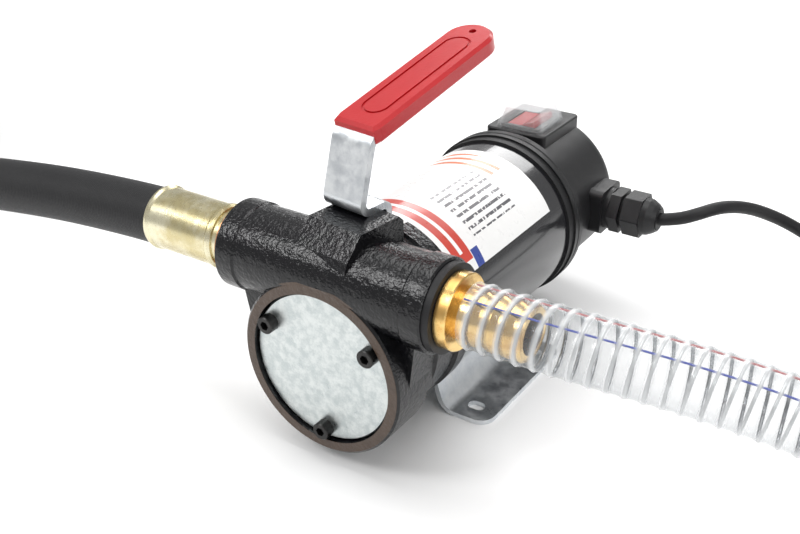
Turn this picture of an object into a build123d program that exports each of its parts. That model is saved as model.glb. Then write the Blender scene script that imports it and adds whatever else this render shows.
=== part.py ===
from build123d import *
import os
from math import cos, pi, radians, sin, tan

os.makedirs("parts", exist_ok=True)

# Fluid transfer pump, 12 V, with suction and delivery hoses.  Millimetres, +Z up.
# The origin is on the floor, at the centre of the four bracket slots.  The motor lies
# along Y with the chamber cover facing -Y.  Suction is at +X and delivery at -X.

# ---- driving dimensions ----
motor_z = 60.7                  # height of the motor axis
chamber_z = 50.0                # height of the chamber drum axis
cavity_z = 57.5                 # height of the cam cavity axis
drum_r = 43.0
drum_front = -103.3
cover_r = 37.0
cover_front = -101.0
cover_thickness = 5.0
seal_thickness = 0.5
seat_y = cover_front + cover_thickness + seal_thickness
cavity_r = 25.5
cavity_back = -78.0
rotor_r = 22.0
vane_count = 5
casting_back = -50.0            # where the motor can begins
cover_screw_r = 32.0
cover_screw_angles = (31.5, 151.5, 271.5)

pipe_y = -82.6
pipe_z = 90.0
pipe_r = 20.6
pipe_left = -57.5
pipe_right = 53.5
thread_r = 13.2                 # port thread, drawn as a plain bore
port_bore_r = 12.0

can_r = 44.0
can_wall = 2.0
can_back = 58.0
shaft_r = 6.0
bearing_r = 16.0
bearing_width = 10.0
bearing_fit = 0.03
magnet_inner_r = 35.0
core_r = 34.0
core_slots = 12

cap_back = 122.0                # end of the rear cover
cap_r = 42.0
cap_wall = 2.5
block_top = 105.5               # top of the switch block
switch_y = 92.7
rocker_rest_tilt = 12.0
rocker_pivot_z = 105.3

gland_y = 100.5
gland_z = 62.0
cable_d = 7.0
gland_end = 77.5

sheet = 2.5                     # bracket sheet thickness
slot_x = 40.0
slot_y = 30.0
slot_width = 6.6
slot_length = 9.0

handle_foot = (-3.9, -77.7)     # plan position of the handle's own axis
handle_yaw = -7.4
strap_width = 22.5
strap_thickness = 3.5
boss_top = 116.0
handle_bolt_z = 106.0
tab_n = 19.5                    # distance of the fixing tab behind handle_foot
grip_width = 25.0
grip_thickness = 9.0

delivery_d = 28.6
delivery_centre = (-582.0, -35.0)
delivery_ring_r = 140.0
delivery_ramp = (260.0, 350.0)  # where the coil climbs one diameter
delivery_coil_end = 150.0
suction_d = 29.8
suction_centre = (410.0, 8.0)
suction_ring_r = 145.0
suction_coil_start = -70.0
suction_ramp = (120.0, 210.0)   # where the coil comes down one diameter
suction_coil_end = 90.0
cable_centre = (215.0, 115.0)
cable_ring_r = 38.0             # middle of two columns of turns
cable_levels = 4

nozzle_y = -152.5
nozzle_z = 62.0
nozzle_start = -575.0           # end face of the delivery hose
lever_pivot = (-466.0, -129.0)

# ---- hose and cable routes, chosen by hand ----
suction_route = [
    (66, -82.6, 90), (98, -82.3, 90), (131, -77, 88), (164, -72.5, 86), (198, -68.5, 82.5),
    (231, -67.5, 77), (260, -73, 70.5), (286, -84.5, 63.5), (314, -102, 56.5), (342, -120, 50.5),
    (368, -131, 47), (394, -137, 45.2), (421, -137.5, 44.8), (446, -133.3, 44.8), (459.6, -128.25, 44.8),
]
delivery_route = [
    (-70, -82.6, 90), (-107, -82.6, 90), (-146, -83.3, 88), (-184, -85, 85.4), (-222, -87.6, 81.5),
    (-259, -86, 75), (-290, -76, 65.5), (-321, -57, 54), (-355, -32, 42), (-390, -5, 31),
    (-425, 22, 22), (-459, 47, 16.5), (-490, 70, 14.5), (-512, 86.2, 14.3),
]
delivery_tail_route = [
    (-703.2, 35, 42.9), (-714.2, 16, 43.4), (-721.9, -27.5, 46), (-714.2, -70.9, 50),
    (-692.2, -109.1, 54.5),
    (-658.4, -137.4, 58.8), (-617, -152.5, 62), (-575, -152.5, 62),
]
cable_route = [
    (77.5, 100.5, 62), (87.5, 101, 64.5), (96.5, 105.5, 68.2), (103, 113.5, 70), (108.5, 124, 68.4),
    (114.5, 136.5, 64), (121, 149, 57.5), (130, 160, 50), (142, 167.4, 41.5), (158, 170, 33.5),
    (179, 168.8, 28), (204, 163.3, 25.4), (229.2, 154, 24.5),
]
cable_tail_route = [
    (215, 156.5, 3.5), (222, 156.8, 3.6), (230, 157, 6), (238, 157.1, 9.8), (245, 157, 11),
    (250, 157, 11),
]


# ---- helpers ----
def facing_front(y):
    """Plane across Y: local x is X, local y is Z, and extruding goes towards -Y."""
    return Plane(origin=(0, y, 0), x_dir=(1, 0, 0), z_dir=(0, -1, 0))


def facing_right(x):
    """Plane across X: local x is Y, local y is Z, and extruding goes towards +X."""
    return Plane(origin=(x, 0, 0), x_dir=(0, 1, 0), z_dir=(1, 0, 0))


def lengthwise(origin, heading):
    """Plane whose local x runs along a level heading and whose local y is up."""
    side = Vector(*heading).cross(Vector(0, 0, 1))
    return Plane(origin=origin, x_dir=heading, z_dir=side)


along_x = (1, 0, 0)
along_y = (0, 1, 0)
motor_axis = lengthwise((0, 0, motor_z), along_y)
drum_axis = lengthwise((0, 0, chamber_z), along_y)
pipe_axis = lengthwise((0, pipe_y, pipe_z), along_x)
gland_axis = lengthwise((0, gland_y, gland_z), along_x)


def turned(axis_plane, outline, mode=Mode.ADD, arc=360.0):
    """Revolves (distance along the axis, radius) points about the plane's local x."""
    with BuildSketch(axis_plane) as half:
        with BuildLine():
            Polyline(*outline, close=True)
        make_face()
    revolve(half.sketch, axis=Axis(axis_plane.origin, axis_plane.x_dir), revolution_arc=arc, mode=mode)


def rod(axis_plane, start, end, radius, mode=Mode.ADD):
    turned(axis_plane, [(start, 0), (start, radius), (end, radius), (end, 0)], mode)


def ring(axis_plane, start, end, outer, inner, mode=Mode.ADD):
    turned(axis_plane, [(start, inner), (start, outer), (end, outer), (end, inner)], mode)


def block(x_span, y_span, z_span, mode=Mode.ADD):
    """Box between two corners."""
    with BuildSketch(Plane.XY.offset(z_span[0])) as base:
        with Locations(((x_span[0] + x_span[1]) / 2, (y_span[0] + y_span[1]) / 2)):
            Rectangle(x_span[1] - x_span[0], y_span[1] - y_span[0])
    extrude(base.sketch, amount=z_span[1] - z_span[0], mode=mode)


def hexagon(plane, centre, across_flats, length, mode=Mode.ADD):
    with BuildSketch(plane) as outline:
        with Locations(centre):
            RegularPolygon(radius=across_flats / 2, side_count=6, major_radius=False)
    extrude(outline.sketch, amount=length, mode=mode)


def prism(plane, points, length, mode=Mode.ADD):
    with BuildSketch(plane) as outline:
        with BuildLine():
            Polyline(*points, close=True)
        make_face()
    extrude(outline.sketch, amount=length, mode=mode)


def polar(radius, angle, centre=(0.0, 0.0)):
    return (centre[0] + radius * cos(radians(angle)), centre[1] + radius * sin(radians(angle)))


def finish(piece, name):
    """Labels a finished piece and writes it."""
    piece.part.label = name
    export_step(piece.part, f"parts/{name}.step")


def corner_radii(route):
    """One fillet radius for each corner, 0.45 of the shorter run over the tangent of half the turn."""
    radii = []
    for before, corner, after in zip(route, route[1:], route[2:]):
        run_in = Vector(*corner) - Vector(*before)
        run_out = Vector(*after) - Vector(*corner)
        half_turn = radians(run_in.get_angle(run_out)) / 2
        radii.append(0.45 * min(run_in.length, run_out.length) / tan(half_turn))
    return radii


def tube_along(route, diameter):
    """Sweeps a round section along straight runs joined by tangent arcs."""
    with BuildLine() as path:
        FilletPolyline(*route, radius=corner_radii(route))
    with BuildSketch(Plane(origin=path.line @ 0, z_dir=path.line % 0)) as section:
        Circle(diameter / 2)
    sweep(section.sketch, path=path.line)


def coil_sector(centre, radius, thickness, low, angle_from, angle_to):
    """Part of a coil's outer shape: a square-section band between two angles."""
    sweep_angle = angle_to - angle_from
    inner = radius - thickness / 2
    outer = radius + thickness / 2
    start = Plane(
        origin=(centre[0], centre[1], 0),
        x_dir=(cos(radians(angle_from)), sin(radians(angle_from)), 0),
        z_dir=(sin(radians(angle_from)), -cos(radians(angle_from)), 0),
    )
    with BuildSketch(start) as section:
        with Locations(((inner + outer) / 2, low + thickness / 2)):
            Rectangle(thickness, thickness)
    revolve(section.sketch, axis=Axis((centre[0], centre[1], 0), (0, 0, 1)), revolution_arc=sweep_angle)


def coil_ramp(centre, radius, thickness, low_from, low_to, angle_from, angle_to):
    """A climbing stretch of a coil, in steps."""
    steps = 6
    for step in range(steps):
        share = (step + 0.5) / steps
        low = low_from + (low_to - low_from) * share
        span = (angle_to - angle_from) / steps
        coil_sector(centre, radius, thickness, low, angle_from + span * step, angle_from + span * (step + 1))


# ---- pump casting ----
handle_n = (sin(radians(-handle_yaw)), cos(radians(handle_yaw)), 0)      # rearward along the handle
handle_w = (cos(radians(handle_yaw)), sin(radians(handle_yaw)), 0)       # across it, towards +X
handle_side = Plane(origin=(handle_foot[0], handle_foot[1], 0), x_dir=handle_n, z_dir=handle_w)
boss_back = tab_n - strap_thickness / 2

with BuildPart() as pump_casting:
    turned(drum_axis, [
        (drum_front, 0), (drum_front, drum_r - 1.2), (drum_front + 1.2, drum_r), (-79, drum_r),
        (-77, 41), (-77, 0),
    ])
    turned(motor_axis, [
        (-80, 0), (-80, 38), (-77, 43), (-75, 45), (-59, 45), (-58, 46.5), (casting_back, 46.5),
        (casting_back, 0),
    ])
    turned(pipe_axis, [
        (pipe_left, 0), (pipe_left, 20.6), (pipe_left + 0.8, 21.4), (-47.5, 21.4), (-46.5, pipe_r),
        (42.5, pipe_r), (43.5, 21.4), (pipe_right - 0.8, 21.4), (pipe_right, 20.6), (pipe_right, 0),
    ])
    prism(facing_front(-72), [
        (-50, 88), (-49, 76), (-41.5, 40), (0, 20), (41.5, 40), (46, 76), (46, 88),
    ], 23)
    with BuildSketch(handle_side.offset(-10)) as boss_profile:
        with BuildLine():
            Polyline(
                (-20, 102), (-18.5, 106), (-9.5, boss_top), (boss_back - 3, boss_top),
                (boss_back, boss_top - 3), (boss_back, 94),
                (8, 84), (-14, 84), close=True,
            )
        make_face()
    extrude(boss_profile.sketch, amount=31)
    # chamber side
    ring(drum_axis, drum_front - 1, seat_y, cover_r + 0.4, 0, Mode.SUBTRACT)
    ring(lengthwise((0, 0, cavity_z), along_y), seat_y, cavity_back, cavity_r, 0, Mode.SUBTRACT)
    for angle in cover_screw_angles:
        x, z = polar(cover_screw_r, angle, (0, chamber_z))
        rod(lengthwise((x, 0, z), along_y), seat_y, seat_y + 9, 2.5, Mode.SUBTRACT)
    # motor side
    rod(motor_axis, cavity_back - 1, casting_back, 9, Mode.SUBTRACT)
    rod(motor_axis, -72, -64, 14, Mode.SUBTRACT)
    rod(motor_axis, casting_back - bearing_width, casting_back, bearing_r, Mode.SUBTRACT)
    # ports and the passages down to the chamber
    for start, stop, radius in (
        (pipe_left - 1, -40, thread_r), (-41, -8, port_bore_r), (38, pipe_right + 1, thread_r),
        (8, 39, port_bore_r),
    ):
        rod(pipe_axis, start, stop, radius, Mode.SUBTRACT)
    for x in (-16, 16):
        rod(Plane(origin=(x, -86, 0), x_dir=(0, 0, 1), z_dir=(1, 0, 0)), 72, pipe_z, 6, Mode.SUBTRACT)
    # handle bolt hole
    prism(
        handle_side.offset(-13), [(boss_back, 98), (boss_back, 122), (36, 122), (36, 98)], 26, Mode.SUBTRACT,
    )
    bolt_origin = handle_side.from_local_coords(Vector(0, handle_bolt_z, 0))
    bolt_axis = lengthwise(tuple(bolt_origin), handle_n)
    rod(bolt_axis, 7, boss_back + 1, 2.5, Mode.SUBTRACT)
finish(pump_casting, "pump_casting")

# ---- chamber ----
with BuildPart() as chamber_seal:
    ring(drum_axis, seat_y - seal_thickness, seat_y, cover_r + 0.2, 0)
    rod(lengthwise((0, 0, cavity_z), along_y), seat_y - 1, seat_y, cavity_r, Mode.SUBTRACT)
    for angle in cover_screw_angles:
        x, z = polar(cover_screw_r, angle, (0, chamber_z))
        rod(lengthwise((x, 0, z), along_y), seat_y - 1, seat_y, 2.6, Mode.SUBTRACT)
finish(chamber_seal, "chamber_seal")

with BuildPart() as chamber_cover:
    turned(drum_axis, [
        (cover_front, 0), (cover_front, cover_r - 0.8), (cover_front + 0.8, cover_r),
        (seat_y - seal_thickness, cover_r), (seat_y - seal_thickness, 0),
    ])
    for angle in cover_screw_angles:
        x, z = polar(cover_screw_r, angle, (0, chamber_z))
        rod(lengthwise((x, 0, z), along_y), cover_front, seat_y, 2.6, Mode.SUBTRACT)
finish(chamber_cover, "chamber_cover")

with BuildPart() as cover_screws:
    for angle in cover_screw_angles:
        x, z = polar(cover_screw_r, angle, (0, chamber_z))
        screw_axis = lengthwise((x, 0, z), along_y)
        turned(screw_axis, [
            (cover_front - 5, 0), (cover_front - 5, 3.85), (cover_front - 4.6, 4.25), (cover_front, 4.25),
            (cover_front, 2.45), (seat_y + 7.5, 2.45), (seat_y + 7.5, 0),
        ])
        hexagon(facing_front(cover_front - 2.4), (x, z), 4.0, 4, Mode.SUBTRACT)
finish(cover_screws, "cover_screws")

# ---- rotor and vanes ----
rotor_front = seat_y + 0.3
rotor_back = cavity_back - 0.3
vane_angles = [90 + 360 / vane_count * number for number in range(vane_count)]
with BuildPart() as rotor:
    ring(motor_axis, rotor_front, rotor_back, rotor_r, shaft_r)
    for angle in vane_angles:
        with BuildSketch(facing_front(rotor_back)) as slot:
            with Locations(polar(16.8, angle, (0, motor_z))):
                Rectangle(12, 3.2, rotation=angle)
        extrude(slot.sketch, amount=rotor_back - rotor_front, mode=Mode.SUBTRACT)
finish(rotor, "rotor")

with BuildPart() as vanes:
    for angle in vane_angles:
        with BuildSketch(facing_front(rotor_back - 0.2)) as blade:
            with Locations(polar(16.6, angle, (0, motor_z))):
                Rectangle(11, 3.0, rotation=angle)
        extrude(blade.sketch, amount=rotor_back - rotor_front - 0.4)
finish(vanes, "vanes")

# ---- shaft, seal and bearings ----
with BuildPart() as motor_shaft:
    turned(motor_axis, [
        (rotor_front + 0.4, 0), (rotor_front + 0.4, 5.5), (rotor_front + 0.9, shaft_r),
        (61, shaft_r), (61.5, 5.5), (61.5, 0),
    ])
finish(motor_shaft, "motor_shaft")

with BuildPart() as shaft_seal:
    turned(motor_axis, [
        (-72, 7.5), (-72, 14), (-64, 14), (-64, 11), (-69, 11), (-69, 6.05), (-70.5, 6.05), (-71, 7.5),
    ])
finish(shaft_seal, "shaft_seal")


def ball_bearing(start, name):
    """Shielded bearing: rings and balls drawn as one turned piece with recessed faces."""
    end = start + bearing_width
    inner = shaft_r + bearing_fit
    with BuildPart() as bearing:
        turned(motor_axis, [
            (start, inner), (start, 8.6), (start + 0.8, 9), (start + 0.8, 13), (start, 13.4),
            (start, bearing_r),
            (end, bearing_r), (end, 13.4), (end - 0.8, 13), (end - 0.8, 9), (end, 8.6), (end, inner),
        ])
    finish(bearing, name)


rear_bearing_start = 52.0
ball_bearing(casting_back - bearing_width, "front_bearing")
ball_bearing(rear_bearing_start, "rear_bearing")

# ---- motor ----
bracket_screw_ys = (-20.0, 20.0)
with BuildPart() as motor_can:
    ring(motor_axis, casting_back, can_back, can_r, can_r - can_wall)
    for y in bracket_screw_ys:
        rod(Plane(origin=(0, y, 0), x_dir=(0, 0, 1), z_dir=(1, 0, 0)), 14, 24, 2.1, Mode.SUBTRACT)
finish(motor_can, "motor_can")

with BuildPart() as magnets:
    for turn in (-65, 115):
        half_x = (cos(radians(turn)), 0, sin(radians(turn)))
        across = Vector(*along_y).cross(Vector(*half_x))
        with BuildSketch(Plane(origin=(0, 0, motor_z), x_dir=along_y, z_dir=across)) as bar:
            with Locations((-2.5, (magnet_inner_r + can_r - can_wall) / 2)):
                Rectangle(65, can_r - can_wall - magnet_inner_r)
        revolve(bar.sketch, axis=Axis((0, 0, motor_z), (0, -1, 0)), revolution_arc=130)
finish(magnets, "magnets")

slot_angles = [360 / core_slots * number for number in range(core_slots)]
with BuildPart() as armature_core:
    ring(motor_axis, -28, 22, core_r, shaft_r)
    for angle in slot_angles:
        with BuildSketch(facing_front(22)) as slot:
            with Locations(polar(29.5, angle, (0, motor_z))):
                Rectangle(9.2, 4, rotation=angle)
        extrude(slot.sketch, amount=50, mode=Mode.SUBTRACT)
finish(armature_core, "armature_core")

with BuildPart() as armature_windings:
    for start, end in ((-37, -28), (22, 29.5)):
        turned(motor_axis, [
            (start, 13), (start, 26), (start + 2, 30), (end - 1, 32.4), (end, 32.4), (end, 13),
        ] if start < 0 else [
            (start, 13), (start, 32.4), (start + 1, 32.4), (end - 2, 30), (end, 26), (end, 13),
        ])
    for angle in slot_angles:
        with BuildSketch(facing_front(22)) as bar:
            with Locations(polar(28.7, angle, (0, motor_z))):
                Rectangle(7, 3.6, rotation=angle)
        extrude(bar.sketch, amount=50)
finish(armature_windings, "armature_windings")

commutator_r = 16.0
with BuildPart() as commutator:
    turned(motor_axis, [
        (30, shaft_r), (30, 17.5), (32, 17.5), (32.5, commutator_r), (46, commutator_r), (46, shaft_r),
    ])
    for number in range(2 * core_slots):
        with BuildSketch(facing_front(46)) as groove:
            with Locations(polar(commutator_r, 180 / core_slots * number, (0, motor_z))):
                Rectangle(2.4, 0.5, rotation=180 / core_slots * number)
        extrude(groove.sketch, amount=13.5, mode=Mode.SUBTRACT)
finish(commutator, "commutator")

with BuildPart() as brush_holder:
    ring(motor_axis, 47.5, 51.5, can_r - can_wall - 0.2, 10)
    for side in (-1, 1):
        inner, outer = sorted((side * 18, side * 36))
        block((inner, outer), (34, 47.5), (motor_z - 5, motor_z + 5))
        block((inner - 1, outer + 1), (35.6, 46.4), (motor_z - 3.6, motor_z + 3.6), Mode.SUBTRACT)
    for x in (-28, 28):
        rod(lengthwise((x, 0, motor_z), along_y), 47, 52, 2.3, Mode.SUBTRACT)
finish(brush_holder, "brush_holder")

with BuildPart() as brushes:
    for side in (-1, 1):
        near, far = sorted((side * (commutator_r + 0.1), side * 30))
        block((near, far), (36, 46), (motor_z - 3.5, motor_z + 3.5))
finish(brushes, "brushes")

with BuildPart() as brush_springs:
    for side in (-1, 1):
        with BuildLine(Plane.XY.offset(motor_z)) as leaf:
            FilletPolyline(
                (side * 37.4, 47.3), (side * 37.4, 38), (side * 33.2, 38.2),
                (side * 30.3, 44.5), radius=[1.5, 1.2],
            )
        with BuildSketch(Plane(origin=leaf.line @ 0, z_dir=leaf.line % 0, x_dir=(0, 0, 1))) as strip:
            Rectangle(5, 0.5)
        sweep(strip.sketch, path=leaf.line)
finish(brush_springs, "brush_springs")

with BuildPart() as rear_bell:
    turned(motor_axis, [
        (52, bearing_r), (52, can_r - can_wall), (can_back, can_r - can_wall), (can_back, 20), (63, 20),
        (63, 9), (62, 9), (62, bearing_r),
    ])
    for x in (-28, 28):
        rod(lengthwise((x, 0, motor_z), along_y), 51, 59, 2.1, Mode.SUBTRACT)
finish(rear_bell, "rear_bell")

label_from, label_to = 27.0, 152.0
with BuildPart() as motor_label:
    start_dir = Vector(cos(radians(label_from)), 0, sin(radians(label_from)))
    band_normal = Vector(*along_y).cross(start_dir)
    with BuildSketch(Plane(origin=(0, 0, motor_z), x_dir=along_y, z_dir=band_normal)) as band:
        with Locations((-3.75, can_r + 0.08)):
            Rectangle(91.5, 0.16)
    revolve(band.sketch, axis=Axis((0, 0, motor_z), (0, -1, 0)), revolution_arc=label_to - label_from)
finish(motor_label, "motor_label")

# ---- rear cover ----
with BuildPart() as cover_gasket:
    turned(motor_axis, [
        (55.5, can_r), (55.5, 45.3), (61, 45.3), (61, 38), (can_back, 38), (can_back, can_r),
    ])
finish(cover_gasket, "cover_gasket")

cover_screw_xs = (-28.0, 28.0)
with BuildPart() as rear_cover:
    turned(motor_axis, [
        (61, 0), (61, 46.3), (64, 46.3), (64.8, 45.6), (65.6, 46.3), (69, 46.3), (70.2, 45.1),
        (70.2, cap_r),
        (cap_back, cap_r), (cap_back, 0),
    ])
    fillet(rear_cover.edges().filter_by(GeomType.CIRCLE).sort_by(Axis.Y)[-1], 9)
    with BuildSketch(Plane.XY.offset(90)) as switch_base:
        with Locations((0, (74.5 + 118) / 2)):
            RectangleRounded(36, 43.5, 3)
    extrude(switch_base.sketch, amount=block_top - 90)
    fillet(rear_cover.faces().filter_by(Axis.Z).sort_by(Axis.Z)[-1].edges(), 1.2)
    with BuildSketch(facing_right(30)) as cable_boss:
        with Locations((gland_y, gland_z)):
            RectangleRounded(25, 25, 4)
    extrude(cable_boss.sketch, amount=18)
    inner = cap_r - cap_wall
    turned(motor_axis, [
        (60, 0), (60, inner), (112, inner), (118, inner - 3.5), (cap_back - cap_wall, inner - 9),
        (cap_back - cap_wall, 0),
    ], Mode.SUBTRACT)
    block((-10.6, 10.6), (switch_y - 13.35, switch_y + 13.35), (84, block_top + 1), Mode.SUBTRACT)
    rod(gland_axis, 30, 49, 7.6, Mode.SUBTRACT)
    for x in cover_screw_xs:
        rod(lengthwise((x, 0, motor_z), along_y), 118, cap_back + 1, 2.1, Mode.SUBTRACT)
finish(rear_cover, "rear_cover")

with BuildPart() as rear_cover_screws:
    for x in cover_screw_xs:
        screw_axis = lengthwise((x, 0, motor_z), along_y)
        turned(screw_axis, [
            (52.5, 0), (52.5, 2), (cap_back, 2), (cap_back, 4.2), (cap_back + 1.6, 4),
            (cap_back + 2.6, 2.8), (cap_back + 2.6, 0),
        ])
        for turn in (0, 90):
            with BuildSketch(facing_front(cap_back + 3)) as recess:
                with Locations((x, motor_z)):
                    Rectangle(4.2, 0.9, rotation=turn)
            extrude(recess.sketch, amount=1.8, mode=Mode.SUBTRACT)
finish(rear_cover_screws, "rear_cover_screws")

# ---- switch ----
with BuildPart() as switch_body:
    block((-10.5, 10.5), (switch_y - 13.25, switch_y + 13.25), (85.5, block_top))
    with BuildSketch(Plane.XY.offset(block_top)) as bezel:
        with Locations((0, switch_y)):
            RectangleRounded(24.4, 27.2, 3)
    extrude(bezel.sketch, amount=1.5)
    block((-8.9, 8.9), (switch_y - 11.4, switch_y + 11.4), (96.5, block_top + 2), Mode.SUBTRACT)
    rod(lengthwise((0, switch_y, rocker_pivot_z), along_y), -12.7, 12.7, 1.25, Mode.SUBTRACT)
    for y in (-8, 0, 8):
        block((-3.1, 3.1), (switch_y + y - 0.4, switch_y + y + 0.4), (78.5, 85.5))
finish(switch_body, "switch_body")

tilt = radians(rocker_rest_tilt)
tilted_x = (cos(tilt), 0, sin(tilt))
rocker_plane = Plane(origin=(0, switch_y + 11, rocker_pivot_z), x_dir=tilted_x, z_dir=(0, -1, 0))
with BuildPart() as rocker:
    prism(rocker_plane, [
        (-8.2, -1), (-8.2, 2.8), (0, 1.3), (8.2, 2.8), (8.2, -1), (4.5, -5), (-4.5, -5),
    ], 22)
    rod(lengthwise((0, switch_y, rocker_pivot_z), along_y), -12.5, 12.5, 1.2)
finish(rocker, "rocker")

hood_height = 11.0
with BuildPart() as switch_hood:
    for inset, mode in ((0.0, Mode.ADD), (0.9, Mode.SUBTRACT)):
        with BuildSketch(Plane.XY.offset(block_top)) as hood_base:
            with Locations((0, switch_y)):
                RectangleRounded(27.4 - 2 * inset, 30.2 - 2 * inset, 3)
        with BuildSketch(Plane.XY.offset(block_top + hood_height - inset)) as hood_top:
            with Locations((0, switch_y)):
                RectangleRounded(22.4 - 2 * inset, 25.2 - 2 * inset, 3)
        loft([hood_base.sketch.face(), hood_top.sketch.face()], mode=mode)
finish(switch_hood, "switch_hood")

# ---- cable gland ----
with BuildPart() as gland_body:
    turned(gland_axis, [
        (40, 4.3), (40, 7.5), (48, 7.5), (48, 11.7), (51, 11.7), (51, 9), (67, 9), (67, 4.3),
    ])
    hexagon(facing_right(51), (gland_y, gland_z), 22, 6)
    rod(gland_axis, 50, 58, 4.3, Mode.SUBTRACT)
finish(gland_body, "gland_body")

with BuildPart() as gland_nut:
    hexagon(facing_right(59), (gland_y, gland_z), 22, 10)
    turned(gland_axis, [
        (69, 0), (69, 10.6), (72, 10), (75, 8.4), (gland_end - 0.5, 6.9), (gland_end - 0.5, 0),
    ])
    rod(gland_axis, 58, 69, 9.05, Mode.SUBTRACT)
    rod(gland_axis, 68, 78, 6.1, Mode.SUBTRACT)
    fillet(gland_nut.edges().filter_by(GeomType.LINE).filter_by(Axis.X), 0.8)
finish(gland_nut, "gland_nut")

with BuildPart() as gland_seal:
    ring(gland_axis, 67.5, gland_end, 6.05, 2.5)
finish(gland_seal, "gland_seal")

# ---- base bracket ----
with BuildPart() as base_bracket:
    with BuildLine(Plane.XZ) as bracket_line:
        FilletPolyline(
            (-52, sheet / 2), (-27, sheet / 2), (-21, 20), (-8, 15.4), (8, 15.4), (21, 20),
            (27, sheet / 2),
            (52, sheet / 2), radius=[9, 5, 20, 20, 5, 9],
        )
    with BuildSketch(Plane(origin=(-52, 0, sheet / 2), x_dir=(0, 1, 0), z_dir=(1, 0, 0))) as strip:
        Rectangle(82, sheet)
    sweep(strip.sketch, path=bracket_line.line)
    with BuildSketch(Plane.XY) as foot_slots:
        with GridLocations(2 * slot_x, 2 * slot_y, 2, 2):
            SlotOverall(slot_length, slot_width)
    extrude(foot_slots.sketch, amount=sheet + 1, mode=Mode.SUBTRACT)
    fillet(base_bracket.edges().filter_by(Axis.Z).group_by(Axis.X)[0], 8)
    fillet(base_bracket.edges().filter_by(Axis.Z).group_by(Axis.X)[-1], 8)
    for y in bracket_screw_ys:
        rod(Plane(origin=(0, y, 0), x_dir=(0, 0, 1), z_dir=(1, 0, 0)), 12, 20, 2.1, Mode.SUBTRACT)
    rod(motor_axis, -45, 45, can_r, Mode.SUBTRACT)
finish(base_bracket, "base_bracket")

saddle_bottom = 15.4 - sheet / 2
with BuildPart() as bracket_screws:
    for y in bracket_screw_ys:
        upright = Plane(origin=(0, y, 0), x_dir=(0, 0, 1), z_dir=(1, 0, 0))
        turned(upright, [
            (saddle_bottom - 3, 0), (saddle_bottom - 3, 3), (saddle_bottom - 2.4, 4.2),
            (saddle_bottom, 4.4),
            (saddle_bottom, 2), (22, 2), (22, 0),
        ])
finish(bracket_screws, "bracket_screws")

# ---- handle ----
grip_start = (10.6, 151.1)
arm_rise = 14.6
arm_heading = (cos(radians(arm_rise)), sin(radians(arm_rise)))
with BuildPart() as handle_strap:
    with BuildLine(handle_side) as strap_line:
        FilletPolyline(
            (tab_n, 99), (tab_n, boss_top + strap_thickness / 2),
            (1.6, boss_top + strap_thickness / 2), grip_start,
            (grip_start[0] + 80 * arm_heading[0], grip_start[1] + 80 * arm_heading[1]), radius=[3.5, 4, 9],
        )
    with BuildSketch(Plane(origin=strap_line.line @ 0, x_dir=handle_w, z_dir=(0, 0, 1))) as strap_section:
        Rectangle(strap_width, strap_thickness)
    sweep(strap_section.sketch, path=strap_line.line)
    rod(bolt_axis, tab_n - 3, tab_n + 3, 2.7, Mode.SUBTRACT)
finish(handle_strap, "handle_strap")

grip_origin = handle_side.from_local_coords(Vector(grip_start[0], grip_start[1], 0))
arm_dir = Vector(*handle_n) * arm_heading[0] + Vector(0, 0, 1) * arm_heading[1]
arm_up = Vector(*handle_n) * -arm_heading[1] + Vector(0, 0, 1) * arm_heading[0]
grip_plane = Plane(origin=grip_origin, x_dir=arm_dir, z_dir=arm_up)
with BuildPart() as handle_grip:
    with BuildSketch(grip_plane.offset(-grip_thickness / 2)) as grip_outline:
        with BuildLine():
            Line((4, -grip_width / 2), (80, -grip_width / 2))
            ThreePointArc((80, -grip_width / 2), (80 + grip_width / 2, 0), (80, grip_width / 2))
            Line((80, grip_width / 2), (4, grip_width / 2))
            Line((4, grip_width / 2), (0, grip_width / 2 - 1))
            Line((0, grip_width / 2 - 1), (0, 1 - grip_width / 2))
            Line((0, 1 - grip_width / 2), (4, -grip_width / 2))
        make_face()
    extrude(grip_outline.sketch, amount=grip_thickness)
    chamfer(handle_grip.faces().sort_by(Axis((0, 0, 0), tuple(arm_up)))[-1].edges(), 1.5)
    chamfer(handle_grip.faces().sort_by(Axis((0, 0, 0), tuple(arm_up)))[0].edges(), 1.5)
    with BuildSketch(grip_plane.offset(grip_thickness / 2 - 0.7)) as grip_loop:
        with Locations((44, 0)):
            SlotOverall(70, 14)
            SlotOverall(67.4, 11.4, mode=Mode.SUBTRACT)
    extrude(grip_loop.sketch, amount=2, mode=Mode.SUBTRACT)
    with BuildSketch(grip_plane) as hang_hole:
        with Locations((85, 0)):
            Circle(1.8)
    extrude(hang_hole.sketch, amount=grip_thickness, both=True, mode=Mode.SUBTRACT)
    add(handle_strap.part, mode=Mode.SUBTRACT)
finish(handle_grip, "handle_grip")

with BuildPart() as handle_bolt:
    tab_back = tab_n + strap_thickness / 2
    turned(bolt_axis, [
        (8, 0), (8, 2.45), (tab_back, 2.45), (tab_back, 5.2), (tab_back + 1, 5.2),
        (tab_back + 1, 0),
    ])
    head_origin = bolt_origin + Vector(*handle_n) * (tab_back + 1)
    hexagon(Plane(origin=head_origin, x_dir=(0, 0, 1), z_dir=handle_n), (0, 0), 8, 3.6)
finish(handle_bolt, "handle_bolt")

# ---- suction side ----
with BuildPart() as inlet_gasket:
    ring(pipe_axis, pipe_right, 57, 20, 13.3)
finish(inlet_gasket, "inlet_gasket")

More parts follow.
